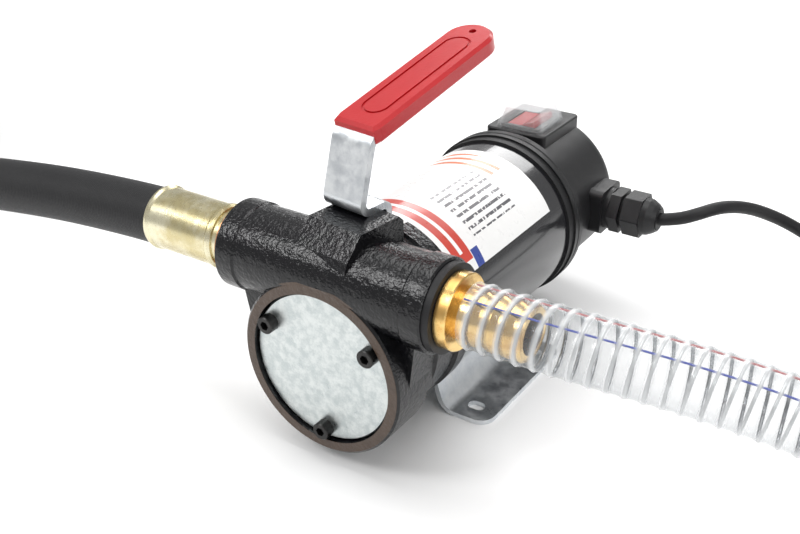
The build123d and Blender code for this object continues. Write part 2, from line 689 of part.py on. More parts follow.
barb_end = 94.5
with BuildPart() as inlet_barb:
    outline = [(41, 9), (41, 13), (57, 13), (57, 16.6), (57.5, 17.1), (62.5, 17.1), (63, 16.6), (63, 11.5)]
    for ridge in (71.5, 80, 87):
        outline += [(ridge - 2.5, 11.5), (ridge - 2, 12.5), (ridge, 12.5), (ridge + 3, 11.5)]
    outline += [(92, 11.5), (92.3, 12.5), (93, 12.5), (barb_end, 11.6), (barb_end, 9)]
    turned(pipe_axis, outline)
finish(inlet_barb, "inlet_barb")

suction_level = suction_d
with BuildPart() as suction_coil:
    coil_sector(
        suction_centre, suction_ring_r, suction_d, suction_level, suction_coil_start, suction_ramp[0],
    )
    coil_ramp(suction_centre, suction_ring_r, suction_d, suction_level, 0, *suction_ramp)
    coil_sector(suction_centre, suction_ring_r, suction_d, 0, suction_ramp[1], 360 + suction_coil_end)
finish(suction_coil, "suction_coil")

with BuildPart() as suction_hose:
    tube_along(suction_route, suction_d)
    rod(pipe_axis, 60, barb_end, 12.6, Mode.SUBTRACT)
    add(suction_coil.part, mode=Mode.SUBTRACT)
finish(suction_hose, "suction_hose")

# foot strainer, lying along -X from the end of the coil
strainer_axis = lengthwise((0, suction_centre[1] + suction_ring_r, suction_d / 2), along_x)
strainer_start = suction_centre[0] - 0.05
strainer_r = 14.7
with BuildPart() as strainer_body:
    turned(strainer_axis, [
        (strainer_start, 8), (strainer_start, strainer_r), (404, strainer_r), (403, 12.4), (399, 12.4),
        (398, strainer_r), (392, strainer_r), (392, 8),
    ])
    rod(strainer_axis, 336, 344, strainer_r)
    for number in range(6):
        y, z = polar(13.5, 60 * number, (strainer_axis.origin.Y, strainer_axis.origin.Z))
        with BuildSketch(facing_right(343)) as rib:
            with Locations((y, z)):
                Rectangle(2.2, 3, rotation=60 * number)
        extrude(rib.sketch, amount=50)
finish(strainer_body, "strainer_body")

with BuildPart() as strainer_basket:
    ring(strainer_axis, 344, 392, 11.9, 11.1)
finish(strainer_basket, "strainer_basket")

# ---- delivery side ----
with BuildPart() as outlet_washer:
    ring(pipe_axis, pipe_left - 3, pipe_left, 17.5, 13.3)
finish(outlet_washer, "outlet_washer")

ferrule_front = -108.0
with BuildPart() as outlet_stem:
    turned(pipe_axis, [
        (-70, 8), (-70, 12.6), (-66, 12.6), (-66, 14.2), (pipe_left - 3, 14.2), (pipe_left - 3, 13),
        (-44, 13), (-44, 8),
    ])
finish(outlet_stem, "outlet_stem")

with BuildPart() as outlet_ferrule:
    turned(pipe_axis, [
        (ferrule_front, 14.35), (ferrule_front, 15.9), (-106.5, 16.2), (-105.4, 15.3),
        (-69.5, 15.3), (-68.4, 16),
        (-67, 16), (-66, 15), (-66, 12.7), (-69.9, 12.7), (-69.9, 14.35),
    ])
finish(outlet_ferrule, "outlet_ferrule")

with BuildPart() as delivery_coil:
    coil_sector(delivery_centre, delivery_ring_r, delivery_d, 0, delivery_coil_end - 90, delivery_ramp[0])
    coil_ramp(delivery_centre, delivery_ring_r, delivery_d, 0, delivery_d, *delivery_ramp)
    coil_sector(
        delivery_centre, delivery_ring_r, delivery_d, delivery_d, delivery_ramp[1] - 360, delivery_coil_end,
    )
finish(delivery_coil, "delivery_coil")

with BuildPart() as delivery_hose:
    tube_along(delivery_route, delivery_d)
    add(outlet_ferrule.part, mode=Mode.SUBTRACT)
    add(delivery_coil.part, mode=Mode.SUBTRACT)
finish(delivery_hose, "delivery_hose")

with BuildPart() as delivery_tail:
    tube_along(delivery_tail_route, delivery_d)
    add(delivery_coil.part, mode=Mode.SUBTRACT)
finish(delivery_tail, "delivery_tail")

# ---- nozzle, lying on its side along X ----
nozzle_axis = lengthwise((0, nozzle_y, nozzle_z), along_x)
grip_r = 16.0
chamber_start, chamber_end = -474.0, -436.0
with BuildPart() as nozzle_ferrule:
    turned(nozzle_axis, [
        (-603, 14.4), (-603, 15.8), (-601.5, 16.1), (-600.5, 15.3), (-578, 15.3), (-577, 15.9),
        (-575.5, 15.9),
        (nozzle_start + 2, 15), (nozzle_start + 2, 6), (nozzle_start, 6), (nozzle_start, 14.4),
    ])
finish(nozzle_ferrule, "nozzle_ferrule")

with BuildPart() as nozzle_body:
    turned(nozzle_axis, [
        (nozzle_start + 2, 0), (nozzle_start + 2, 12), (-562, 12), (-558, grip_r - 1),
        (-520, grip_r), (-486, grip_r), (chamber_start, 18),
        (chamber_start + 2, 19), (chamber_end - 2, 19), (chamber_end, 17), (chamber_end, 12),
        (-430, 12), (-430, 0),
    ])
    hexagon(facing_right(nozzle_start + 2), (nozzle_y, nozzle_z), 26, 11)
    with BuildLine(Plane.XY.offset(nozzle_z)) as guard_line:
        FilletPolyline((-555, -144), (-557, -106), (-470, -103), (-447, -138), radius=[14, 16])
    guard_start = Plane(origin=guard_line.line @ 0, z_dir=guard_line.line % 0, x_dir=(0, 0, 1))
    with BuildSketch(guard_start) as guard_section:
        Rectangle(9, 4.5)
    sweep(guard_section.sketch, path=guard_line.line)
    block((-473, -459), (-139, -123), (nozzle_z - 8, nozzle_z + 8))
    block((-480, -458), (-134.5, -122), (nozzle_z - 4.6, nozzle_z + 4.6), Mode.SUBTRACT)
    pivot_line = Plane(origin=(lever_pivot[0], lever_pivot[1], 0), x_dir=(0, 0, 1), z_dir=(1, 0, 0))
    rod(pivot_line, nozzle_z - 9, nozzle_z + 9, 2.0, Mode.SUBTRACT)
    rod(nozzle_axis, -580, -425, 6, Mode.SUBTRACT)
finish(nozzle_body, "nozzle_body")

with BuildPart() as nozzle_lever:
    with BuildSketch(Plane.XY.offset(nozzle_z - 4)) as lever_shape:
        with BuildLine():
            Polyline(
                (-462.5, -132.5), (-462.5, -126), (-466, -125.4), (-478, -124.6), (-500, -119.6),
                (-540, -113.6), (-546, -111.6),
                (-548, -114), (-541, -117.4), (-500, -124.4), (-480, -130.4), (-470, -132.8), close=True,
            )
        make_face()
    extrude(lever_shape.sketch, amount=8)
    rod(pivot_line, nozzle_z - 5, nozzle_z + 5, 2.05, Mode.SUBTRACT)
finish(nozzle_lever, "nozzle_lever")

with BuildPart() as nozzle_pin:
    turned(pivot_line, [
        (nozzle_z - 8.8, 0), (nozzle_z - 8.8, 2.8), (nozzle_z - 8, 3), (nozzle_z - 8, 2),
        (nozzle_z + 8.6, 2), (nozzle_z + 8.6, 0),
    ])
finish(nozzle_pin, "nozzle_pin")

with BuildPart() as nozzle_spout:
    ring(nozzle_axis, -430, -421, 12.5, 6.5)
    with BuildLine(Plane.XY.offset(nozzle_z)) as spout_line:
        FilletPolyline((-421, nozzle_y), (-382, nozzle_y), (-326, -131), radius=60)
    with BuildSketch(Plane(origin=spout_line.line @ 0, z_dir=spout_line.line % 0)) as spout_section:
        Circle(8.5)
        Circle(6.5, mode=Mode.SUBTRACT)
    sweep(spout_section.sketch, path=spout_line.line)
finish(nozzle_spout, "nozzle_spout")

# ---- power cable ----
with BuildPart() as cable_coil:
    upright = Plane(origin=(cable_centre[0], cable_centre[1], 0), x_dir=(0, 0, 1), z_dir=(1, 0, 0))
    ring(upright, 0, cable_levels * cable_d, cable_ring_r + cable_d, cable_ring_r - cable_d)
finish(cable_coil, "cable_coil")

with BuildPart() as power_cable:
    tube_along(cable_route, cable_d)
    add(gland_seal.part, mode=Mode.SUBTRACT)
    add(cable_coil.part, mode=Mode.SUBTRACT)
finish(power_cable, "power_cable")

with BuildPart() as cable_tail:
    tube_along(cable_tail_route, cable_d)
    add(cable_coil.part, mode=Mode.SUBTRACT)
finish(cable_tail, "cable_tail")

plug_axis = lengthwise((0, 157, 11), along_x)
with BuildPart() as plug_body:
    turned(plug_axis, [
        (250, 0), (250, 4.4), (262, 5.6), (264, 8), (268, 10.2), (272, 10.9), (296, 10.9),
        (298, 10), (313, 10), (316, 8.2), (316, 0),
    ])
    for side in (-1, 1):
        near, far = sorted((157 + side * 8.4, 157 + side * 12))
        block((300, 313), (near, far), (8.4, 13.6), Mode.SUBTRACT)
finish(plug_body, "plug_body")

with BuildPart() as plug_contacts:
    for side in (-1, 1):
        near, far = sorted((157 + side * 8.4, 157 + side * 9.4))
        block((300.5, 312.5), (near, far), (8.6, 13.4))
    turned(plug_axis, [(316, 0), (316, 4), (320, 4), (323, 2.6), (324, 0)])
finish(plug_contacts, "plug_contacts")
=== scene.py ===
from math import cos, exp, pi, radians, sin

import bpy
from mathutils import Matrix, Vector


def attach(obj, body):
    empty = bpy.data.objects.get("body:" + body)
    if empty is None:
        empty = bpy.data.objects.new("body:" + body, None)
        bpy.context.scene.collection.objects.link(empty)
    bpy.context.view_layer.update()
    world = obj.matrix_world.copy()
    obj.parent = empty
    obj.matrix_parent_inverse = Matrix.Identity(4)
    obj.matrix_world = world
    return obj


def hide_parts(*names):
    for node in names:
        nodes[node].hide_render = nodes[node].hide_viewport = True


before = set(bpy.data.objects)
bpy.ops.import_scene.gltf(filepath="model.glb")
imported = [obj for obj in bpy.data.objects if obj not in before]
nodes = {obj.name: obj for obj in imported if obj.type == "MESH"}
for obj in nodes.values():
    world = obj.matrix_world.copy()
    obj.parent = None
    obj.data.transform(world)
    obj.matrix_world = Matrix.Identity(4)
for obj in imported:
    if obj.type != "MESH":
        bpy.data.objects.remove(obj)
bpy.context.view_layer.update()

# Fluid transfer pump.  Lengths below are in millimetres unless a name says metres.
mm = 0.001

# ---- driving sizes, the same as the design ----
motor_z = 60.7
chamber_z = 50.0
drum_front, drum_r = -103.3, 43.0
suction_d, delivery_d, cable_d = 29.8, 28.6, 7.0
suction_centre, suction_ring_r = (410.0, 8.0), 145.0
delivery_centre, delivery_ring_r = (-582.0, -35.0), 140.0
cable_centre, cable_ring_r = (215.0, 115.0), 38.0
wire_pitch = 7.4
points_per_turn = 16


def metres(point):
    return Vector(point) * mm


# ---- camera ----
camera_data = bpy.data.cameras.new("camera")
camera_data.sensor_width = 36.0
camera_data.lens = 48.08
camera = bpy.data.objects.new("camera", camera_data)
bpy.context.scene.collection.objects.link(camera)
camera_right = Vector((0.83058, 0.55680, -0.01071))
camera_up = Vector((-0.25635, 0.39933, 0.88024))
camera_back = Vector((0.49440, -0.72836, 0.47441))
turn = Matrix((camera_right, camera_up, camera_back)).transposed()
camera.matrix_world = Matrix.Translation((0.25417, -0.41218, 0.31671)) @ turn.to_4x4()
bpy.context.scene.camera = camera


# ---- shader building ----
class Value:
    """A number in a shader: a socket, with the usual arithmetic."""

    def __init__(self, shader, socket):
        self.shader = shader
        self.socket = socket

    def combine(self, operation, *values):
        return self.shader.node("ShaderNodeMath", {"operation": operation}, dict(enumerate(values)))

    def __add__(self, other):
        return self.combine("ADD", self, other)

    def __radd__(self, other):
        return self.combine("ADD", other, self)

    def __sub__(self, other):
        return self.combine("SUBTRACT", self, other)

    def __rsub__(self, other):
        return self.combine("SUBTRACT", other, self)

    def __mul__(self, other):
        return self.combine("MULTIPLY", self, other)

    def __rmul__(self, other):
        return self.combine("MULTIPLY", other, self)

    def __truediv__(self, other):
        return self.combine("DIVIDE", self, other)

    def __gt__(self, other):
        return self.combine("GREATER_THAN", self, other)

    def __lt__(self, other):
        return self.combine("LESS_THAN", self, other)

    def __abs__(self):
        return self.combine("ABSOLUTE", self)

    def power(self, other):
        return self.combine("POWER", self, other)

    def wrap(self, span):
        return self.combine("FLOORED_MODULO", self, span)

    def between(self, low, high):
        return (self > low) * (self < high)


class Shader:
    """One material: a Principled surface and the nodes that feed it."""

    def __init__(self, name, colour, roughness, **constants):
        self.material = bpy.data.materials.new(name)
        self.material.use_nodes = True
        self.tree = self.material.node_tree
        self.surface = self.tree.nodes["Principled BSDF"]
        self.surface.inputs["Base Color"].default_value = (*colour, 1)
        self.surface.inputs["Roughness"].default_value = roughness
        for socket, number in constants.items():
            self.surface.inputs[socket.replace("_", " ")].default_value = number

    def node(self, kind, settings=None, values=None, out=0):
        made = self.tree.nodes.new(kind)
        for name, setting in (settings or {}).items():
            setattr(made, name, setting)
        for key, value in (values or {}).items():
            if isinstance(value, Value):
                self.tree.links.new(value.socket, made.inputs[key])
            else:
                made.inputs[key].default_value = value
        return Value(self, made.outputs[out])

    def feed(self, socket, value):
        self.tree.links.new(value.socket, self.surface.inputs[socket])
        return self

    def place(self):
        """The point in the part's own frame, in metres."""
        return self.node("ShaderNodeTexCoord", out="Object")

    def axes(self):
        split = self.tree.nodes.new("ShaderNodeSeparateXYZ")
        self.tree.links.new(self.place().socket, split.inputs[0])
        return [Value(self, split.outputs[i]) for i in range(3)]

    def uv(self):
        split = self.tree.nodes.new("ShaderNodeSeparateXYZ")
        self.tree.links.new(self.node("ShaderNodeTexCoord", out="UV").socket, split.inputs[0])
        return [Value(self, split.outputs[i]) for i in range(2)]

    def vector(self, x, y, z):
        return self.node("ShaderNodeCombineXYZ", None, {0: x, 1: y, 2: z})

    def grain(self, scale, detail=4.0, at=None, rough=0.6):
        return self.node(
            "ShaderNodeTexNoise", None,
            {"Vector": at or self.place(), "Scale": scale, "Detail": detail, "Roughness": rough},
        )

    def ramp(self, value, low, high):
        """0 below low, 1 above high, smooth between."""
        return self.node(
            "ShaderNodeMapRange", {"interpolation_type": "SMOOTHSTEP"},
            {0: value, 1: low, 2: high, 3: 0.0, 4: 1.0},
        )

    def blend(self, share, first, second):
        """Colour mix; either colour is a triple or a link."""
        def full(colour):
            return colour if isinstance(colour, Value) else (*colour, 1)
        colours = {0: share, 6: full(first), 7: full(second)}
        return self.node("ShaderNodeMix", {"data_type": "RGBA"}, colours, out=2)

    def bump(self, height, strength, depth=0.001):
        made = self.node("ShaderNodeBump", None, {"Height": height, "Strength": strength, "Distance": depth})
        return self.feed("Normal", made)


# ---- materials ----
def black_cast_paint():
    """Gloss black paint over sand-cast iron."""
    s = Shader("black_cast_paint", (0.004, 0.004, 0.005), 0.16, Specular_IOR_Level=0.42)
    coarse, fine = s.grain(430, 2.0), s.grain(1200, 3.0)
    dust = s.ramp(s.grain(240, 6.0), 0.6, 0.78)
    paint = s.blend(dust, (0.003, 0.003, 0.004), (0.012, 0.012, 0.012))
    x, y, z = s.axes()
    ring_r = (x * x + (z - chamber_z * mm) * (z - chamber_z * mm)).power(0.5)
    front = y.between(-0.1036, drum_front * mm + 0.0002) * (ring_r < (drum_r + 0.2) * mm)
    machined = front * (s.grain(160, 4.0) * 0.6 + 0.5)
    s.feed("Base Color", s.blend(machined, paint, (0.085, 0.055, 0.038)))
    s.feed("Roughness", 0.10 + coarse * 0.16 + machined * 0.2)
    s.bump(coarse + fine * 0.2, 0.8, 0.0006)
    return s.material


def gloss_black_paint():
    s = Shader("gloss_black_paint", (0.012, 0.012, 0.014), 0.16, Coat_Weight=0.5, Coat_Roughness=0.08)
    s.feed("Roughness", 0.12 + s.grain(90, 5.0) * 0.14)
    s.bump(s.grain(420, 3.0), 0.08, 0.0005)
    return s.material


def moulded_black(name, roughness=0.42, scale=2600):
    """Fine spark-eroded nylon."""
    s = Shader(name, (0.009, 0.009, 0.010), roughness, Specular_IOR_Level=0.4)
    spark = s.grain(scale, 3.0)
    s.feed("Roughness", roughness - 0.1 + s.grain(60, 4.0) * 0.2)
    s.feed("Base Color", s.blend(s.grain(35, 5.0), (0.006, 0.006, 0.007), (0.012, 0.012, 0.013)))
    s.bump(spark, 0.22, 0.0004)
    return s.material


def zinc_plate(name, light, dark, scale=160, tone=(0.78, 0.80, 0.80)):
    """Bright zinc over sheet or cast metal, with soft crystal flowering and fine scratches."""
    s = Shader(name, tone, 0.3, Metallic=1.0)
    flower = s.ramp(s.grain(scale, 8.0, rough=0.7), 0.36, 0.66)
    x, y, z = s.axes()
    scratches = s.grain(30, 2.0, at=s.vector(x * 10.0, y * 60.0, z * 8.0))
    s.feed("Base Color", s.blend(flower, dark, light))
    s.feed("Roughness", 0.24 + flower * 0.18 + scratches * 0.08)
    s.bump(s.grain(scale * 6, 4.0) + scratches * 0.5, 0.10, 0.0004)
    return s.material


def yellow_zinc():
    """Yellow passivated plating: straw, with greenish and pink patches."""
    s = Shader("yellow_zinc", (0.66, 0.58, 0.36), 0.24, Metallic=1.0)
    patch = s.ramp(s.grain(70, 5.0), 0.38, 0.64)
    tint = s.ramp(s.grain(38, 3.0, at=s.vector(*[a + 0.7 for a in s.axes()])), 0.5, 0.7)
    straw = s.blend(patch, (0.60, 0.52, 0.29), (0.80, 0.75, 0.55))
    s.feed("Base Color", s.blend(tint * 0.5, straw, (0.62, 0.60, 0.42)))
    s.feed("Roughness", 0.18 + s.grain(300, 4.0) * 0.2)
    s.bump(s.grain(900, 4.0), 0.08, 0.0004)
    return s.material


def turned_metal(name, colour, darker, rough=0.22, lines=5200, metallic=1.0, along="x"):
    """Lathe-turned metal: fine rings across the named axis, and light stains."""
    s = Shader(name, colour, rough, Metallic=metallic)
    axes = dict(zip("xyz", s.axes()))
    rings = s.grain(1.0, 2.0, at=s.vector(axes[along] * lines, 0.3, 0.3))
    stain = s.ramp(s.grain(110, 5.0), 0.42, 0.68)
    s.feed("Base Color", s.blend(stain, colour, darker))
    s.feed("Roughness", rough - 0.06 + stain * 0.14 + rings * 0.08)
    s.bump(rings, 0.12, 0.0003)
    return s.material


def red_vinyl():
    """Dipped red vinyl: glossy, with a faint orange-peel surface."""
    s = Shader("red_vinyl", (0.42, 0.004, 0.008), 0.3, Coat_Weight=0.25, Coat_Roughness=0.15)
    s.feed("Base Color", s.blend(s.grain(45, 5.0), (0.38, 0.003, 0.007), (0.50, 0.006, 0.010)))
    s.feed("Roughness", 0.24 + s.grain(160, 4.0) * 0.16)
    s.bump(s.grain(700, 3.0), 0.14, 0.0005)
    return s.material


def red_rocker():
    s = Shader("red_rocker", (0.45, 0.005, 0.008), 0.2, Coat_Weight=0.4)
    s.feed("Base Color", s.blend(s.grain(200, 4.0), (0.38, 0.004, 0.006), (0.50, 0.008, 0.010)))
    s.feed("Roughness", 0.14 + s.grain(240, 4.0) * 0.14)
    s.bump(s.grain(1500, 2.0), 0.06, 0.0003)
    return s.material


def black_rubber(name="black_rubber", wrap=False):
    """Black rubber; a wrapped hose has the weave of its curing cloth."""
    s = Shader(name, (0.009, 0.009, 0.010), 0.5, Specular_IOR_Level=0.35)
    s.feed("Base Color", s.blend(s.grain(60, 5.0), (0.006, 0.006, 0.007), (0.014, 0.014, 0.015)))
    if wrap:
        around, along = s.uv()
        weft = abs((along * 900.0).wrap(1.0) - 0.5)
        warp = abs((around * 110.0).wrap(1.0) - 0.5)
        lap = abs((along * 14.0 + around).wrap(1.0) - 0.5) < 0.012
        s.feed("Roughness", 0.40 + s.grain(500, 4.0) * 0.2)
        s.bump(weft * 0.7 + warp * 0.5 + s.grain(900, 4.0) * 1.2 - lap * 0.7, 0.5, 0.0004)
    else:
        s.feed("Roughness", 0.42 + s.grain(300, 4.0) * 0.2)
        s.bump(s.grain(1500, 4.0), 0.2, 0.0004)
    return s.material


def clear_pvc_hose():
    """Clear hose wall: nearly invisible between the ridges, milky where the wall is thick."""
    s = Shader("clear_pvc_hose", (0.60, 0.63, 0.65), 0.06, IOR=1.45, Coat_Weight=0.4, Coat_Roughness=0.04)
    around, along = s.uv()
    ridge = s.ramp(abs((along * (1000 / wire_pitch) - around).wrap(1.0) - 0.5), 0.34, 0.02)
    edge = s.node("ShaderNodeLayerWeight", None, {"Blend": 0.35}, out=1)
    s.feed("Base Color", s.blend(ridge, (0.42, 0.45, 0.47), (0.86, 0.88, 0.89)))
    s.feed("Alpha", 0.12 + ridge * 0.26 + edge * 0.42 + s.grain(90, 3.0) * 0.08)
    s.feed("Roughness", 0.04 + s.grain(400, 3.0) * 0.1)
    s.bump(s.grain(700, 3.0), 0.1, 0.0004)
    return s.material


def clear_cap():
    s = Shader("clear_cap", (0.90, 0.92, 0.93), 0.08, IOR=1.45, Coat_Weight=0.5)
    edge = s.node("ShaderNodeLayerWeight", None, {"Blend": 0.3}, out=1)
    s.feed("Alpha", 0.07 + edge * 0.5 + s.grain(120, 4.0) * 0.06)
    s.feed("Roughness", 0.05 + s.grain(300, 3.0) * 0.1)
    s.bump(s.grain(260, 3.0), 0.12, 0.0004)
    return s.material


def tracer(name, colour):
    s = Shader(name, colour, 0.3)
    s.feed("Base Color", s.blend(s.grain(500, 3.0), colour, tuple(c * 0.7 for c in colour)))
    s.feed("Roughness", 0.25 + s.grain(900, 3.0) * 0.2)
    return s.material


def rating_label():
    """White vinyl label: a red block with a white bar, grey strips and red arcs, and no words."""
    s = Shader("rating_label", (0.86, 0.86, 0.85), 0.3, Coat_Weight=0.4, Coat_Roughness=0.1)
    x, y, z = s.axes()
    angle = s.node("ShaderNodeMath", {"operation": "ARCTAN2"}, {0: z - motor_z * mm, 1: x}) * (180 / pi)
    paper = s.blend(s.grain(300, 4.0), (0.84, 0.84, 0.83), (0.90, 0.90, 0.89))
    lines = abs((angle / 5.2).wrap(1.0) - 0.5) < 0.2
    broken = s.grain(1.0, 1.0, at=s.vector(y * 520.0, angle * 0.19, 0.0)) > 0.42
    strips = lines * broken * y.between(-0.022, 0.018) * angle.between(44.0, 82.0)
    printed = s.blend(strips, paper, (0.10, 0.10, 0.11))
    block = y.between(-0.0435, -0.031) * angle.between(34.0, 118.0)
    printed = s.blend(block, printed, (0.58, 0.05, 0.03))
    bar = y.between(-0.0385, -0.036) * angle.between(40.0, 108.0)
    printed = s.blend(bar, printed, (0.88, 0.88, 0.87))
    patch = y.between(-0.0305, -0.0245) * angle.between(27.0, 39.0)
    printed = s.blend(patch, printed, (0.03, 0.06, 0.30))
    arcs = abs((y * 150.0 + angle * 0.012).wrap(1.0) - 0.5) < 0.22
    swoosh = arcs * y.between(0.020, 0.036) * angle.between(70.0, 140.0)
    printed = s.blend(swoosh, printed, (0.70, 0.16, 0.05))
    s.feed("Base Color", printed)
    s.feed("Roughness", 0.22 + s.grain(200, 4.0) * 0.14)
    s.bump(s.grain(500, 3.0), 0.05, 0.0003)
    return s.material


def copper(name="copper_wire", scale=700):
    s = Shader(name, (0.62, 0.26, 0.13), 0.3, Metallic=1.0)
    s.feed("Base Color", s.blend(s.grain(90, 5.0), (0.55, 0.22, 0.11), (0.72, 0.36, 0.2)))
    s.feed("Roughness", 0.2 + s.grain(scale, 4.0) * 0.2)
    s.bump(s.grain(scale * 2, 3.0), 0.2, 0.0004)
    return s.material


def sand_cast_aluminium():
    s = Shader("sand_cast_aluminium", (0.72, 0.72, 0.71), 0.42, Metallic=1.0)
    s.feed("Base Color", s.blend(s.grain(80, 5.0), (0.60, 0.60, 0.60), (0.78, 0.78, 0.77)))
    s.feed("Roughness", 0.34 + s.grain(400, 4.0) * 0.2)
    s.bump(s.grain(900, 5.0), 0.4, 0.0005)
    return s.material


def dark_steel():
    s = Shader("dark_steel", (0.03, 0.03, 0.032), 0.32, Metallic=0.9)
    s.feed("Base Color", s.blend(s.grain(300, 4.0), (0.022, 0.022, 0.024), (0.06, 0.058, 0.055)))
    s.feed("Roughness", 0.26 + s.grain(700, 4.0) * 0.16)
    s.bump(s.grain(2200, 3.0), 0.15, 0.0003)
    return s.material


cast_black = black_cast_paint()
gloss_black = gloss_black_paint()
nylon = moulded_black("black_nylon")
fine_nylon = moulded_black("fine_black_nylon", 0.34, 3600)
bright_zinc = zinc_plate("bright_zinc", (0.80, 0.82, 0.83), (0.64, 0.67, 0.70), 90)
cover_zinc = zinc_plate("cover_zinc", (0.66, 0.69, 0.68), (0.44, 0.48, 0.48), 210)
straw_zinc = yellow_zinc()
brass = turned_metal("turned_brass", (0.86, 0.60, 0.24), (0.66, 0.40, 0.13))
steel = turned_metal("turned_steel", (0.62, 0.62, 0.61), (0.45, 0.45, 0.45), along="y")
vinyl = red_vinyl()
rubber = black_rubber()
wrapped_rubber = black_rubber("wrapped_rubber", wrap=True)
hose_wall = clear_pvc_hose()
hood_wall = clear_cap()
screw_black = dark_steel()
copper_metal = copper()
cast_aluminium = sand_cast_aluminium()

node_materials = {
    cast_black: ["pump_casting"],
    cover_zinc: ["chamber_cover"],
    bright_zinc: [
        "handle_strap", "base_bracket", "bracket_screws", "rear_cover_screws", "brush_springs", "plug_contacts",
    ],
    gloss_black: ["motor_can"],
    nylon: ["rear_cover", "gland_body", "gland_nut", "brush_holder", "vanes", "plug_body", "strainer_body"],
    fine_nylon: ["switch_body", "brushes"],
    straw_zinc: ["outlet_ferrule", "outlet_stem", "nozzle_ferrule"],
    brass: ["inlet_barb"],
    steel: [
        "rotor", "motor_shaft", "front_bearing", "rear_bearing", "armature_core", "strainer_basket",
        "nozzle_lever", "nozzle_pin",
    ],
    vinyl: ["handle_grip"],
    red_rocker(): ["rocker"],
    rubber: [
        "chamber_seal", "shaft_seal", "cover_gasket", "gland_seal", "inlet_gasket",
        "suction_hose", "suction_coil",
        "delivery_hose", "delivery_coil", "delivery_tail", "power_cable", "cable_coil", "cable_tail", "magnets",
    ],
    hood_wall: ["switch_hood"],
    rating_label(): ["motor_label"],
    screw_black: ["cover_screws", "handle_bolt"],
    copper_metal: ["armature_windings", "commutator", "outlet_washer"],
    cast_aluminium: ["nozzle_body", "nozzle_spout", "rear_bell"],
}
for material, names in node_materials.items():
    for name in names:
        nodes[name].data.materials.clear()
        nodes[name].data.materials.append(material)


# ---- mesh building ----
def piece_from(name, vertices, faces, material, body="pump", smooth=True, uvs=None):
    mesh = bpy.data.meshes.new(name)
    mesh.from_pydata([tuple(v) for v in vertices], [], faces)
    mesh.materials.append(material)
    if uvs:
        layer = mesh.uv_layers.new(name="UVMap")
        flat = [number for face_uv in uvs for pair in face_uv for number in pair]
        layer.data.foreach_set("uv", flat)
    if smooth:
        mesh.polygons.foreach_set("use_smooth", [True] * len(mesh.polygons))
    mesh.update()
    made = bpy.data.objects.new(name, mesh)
    bpy.context.scene.collection.objects.link(made)
    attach(made, body)
    return made


def curve_from(name, points, bevel=0.0, material=None, resolution=3):
    """NURBS curve through a list of millimetre control points."""
    data = bpy.data.curves.new(name, "CURVE")
    data.dimensions = "3D"
    data.resolution_u = resolution
    data.bevel_depth = bevel * mm
    data.bevel_resolution = 5
    data.use_fill_caps = True
    spline = data.splines.new("NURBS")
    spline.points.add(len(points) - 1)
    for control, point in zip(spline.points, points):
        control.co = (*metres(point), 1.0)
    spline.order_u = 3
    spline.use_endpoint_u = True
    if material:
        data.materials.append(material)
    made = bpy.data.objects.new(name, data)
    bpy.context.scene.collection.objects.link(made)
    return made


def centreline(points, spacing):
    """Evenly spaced points, in metres, on the NURBS line of a route."""
    guide = curve_from("guide", points, resolution=8)
    mesh = bpy.data.meshes.new_from_object(guide)
    raw = [v.co.copy() for v in mesh.vertices]
    bpy.data.objects.remove(guide)
    bpy.data.meshes.remove(mesh)
    runs = [(b - a).length for a, b in zip(raw, raw[1:])]
    total = sum(runs)
    count = max(2, round(total / (spacing * mm)))
    even, index, passed = [], 0, 0.0
    for step in range(count + 1):
        target = total * step / count
        while index < len(runs) - 1 and passed + runs[index] < target:
            passed += runs[index]
            index += 1
        even.append(raw[index].lerp(raw[index + 1], min(1.0, (target - passed) / runs[index])))
    return even, total


def frames_on(line):
    """A side and an up vector at each point, carried along without twist."""
    headings = []
    for index in range(len(line)):
        before, after = line[max(0, index - 1)], line[min(len(line) - 1, index + 1)]
        headings.append((after - before).normalized())
    side = headings[0].cross(Vector((0, 0, 1))).normalized()
    frames = []
    for heading in headings:
        side = (side - heading * side.dot(heading)).normalized()
        frames.append((side, side.cross(heading)))
    return frames


def tube(name, line, radius_at, segments, material, closed=True):
    """Mesh tube round a line; radius_at(length, turn) is in millimetres, with turn from 0 to 1."""
    frames = frames_on(line)
    vertices, faces, uvs = [], [], []
    length = 0.0
    lengths = []
    for index, (point, (side, up)) in enumerate(zip(line, frames)):
        if index:
            length += (point - line[index - 1]).length
        lengths.append(length)
        for step in range(segments):
            share = step / segments
            spoke = side * cos(2 * pi * share) + up * sin(2 * pi * share)
            vertices.append(point + spoke * radius_at(length / mm, share) * mm)
    for row in range(len(line) - 1):
        for step in range(segments):
            ahead = (step + 1) % segments
            here, beyond = row * segments, (row + 1) * segments
            faces.append((here + step, beyond + step, beyond + ahead, here + ahead))
            low, high = step / segments, (step + 1) / segments
            near, far = lengths[row], lengths[row + 1]
            uvs.append(((low, near), (low, far), (high, far), (high, near)))
    if closed:
        last = (len(line) - 1) * segments
        faces.append(tuple(range(segments)))
        uvs.append(tuple((0.5, lengths[0]) for _ in range(segments)))
        faces.append(tuple(reversed(range(last, last + segments))))
        uvs.append(tuple((0.5, lengths[-1]) for _ in range(segments)))
    return piece_from(name, vertices, faces, material, uvs=uvs)


def on_ring(centre, radius, degrees, z):
    angle = radians(degrees)
    return (centre[0] + radius * cos(angle), centre[1] + radius * sin(angle), z)


def eased(value, start, end):
    share = min(1.0, max(0.0, (value - start) / (end - start)))
    return share * share * (3 - 2 * share)


# a control point stands this much further out than the line it makes
bulge = 1 + 0.5 * (1 / cos(pi / points_per_turn) - 1)
turn_step = 360 / points_per_turn

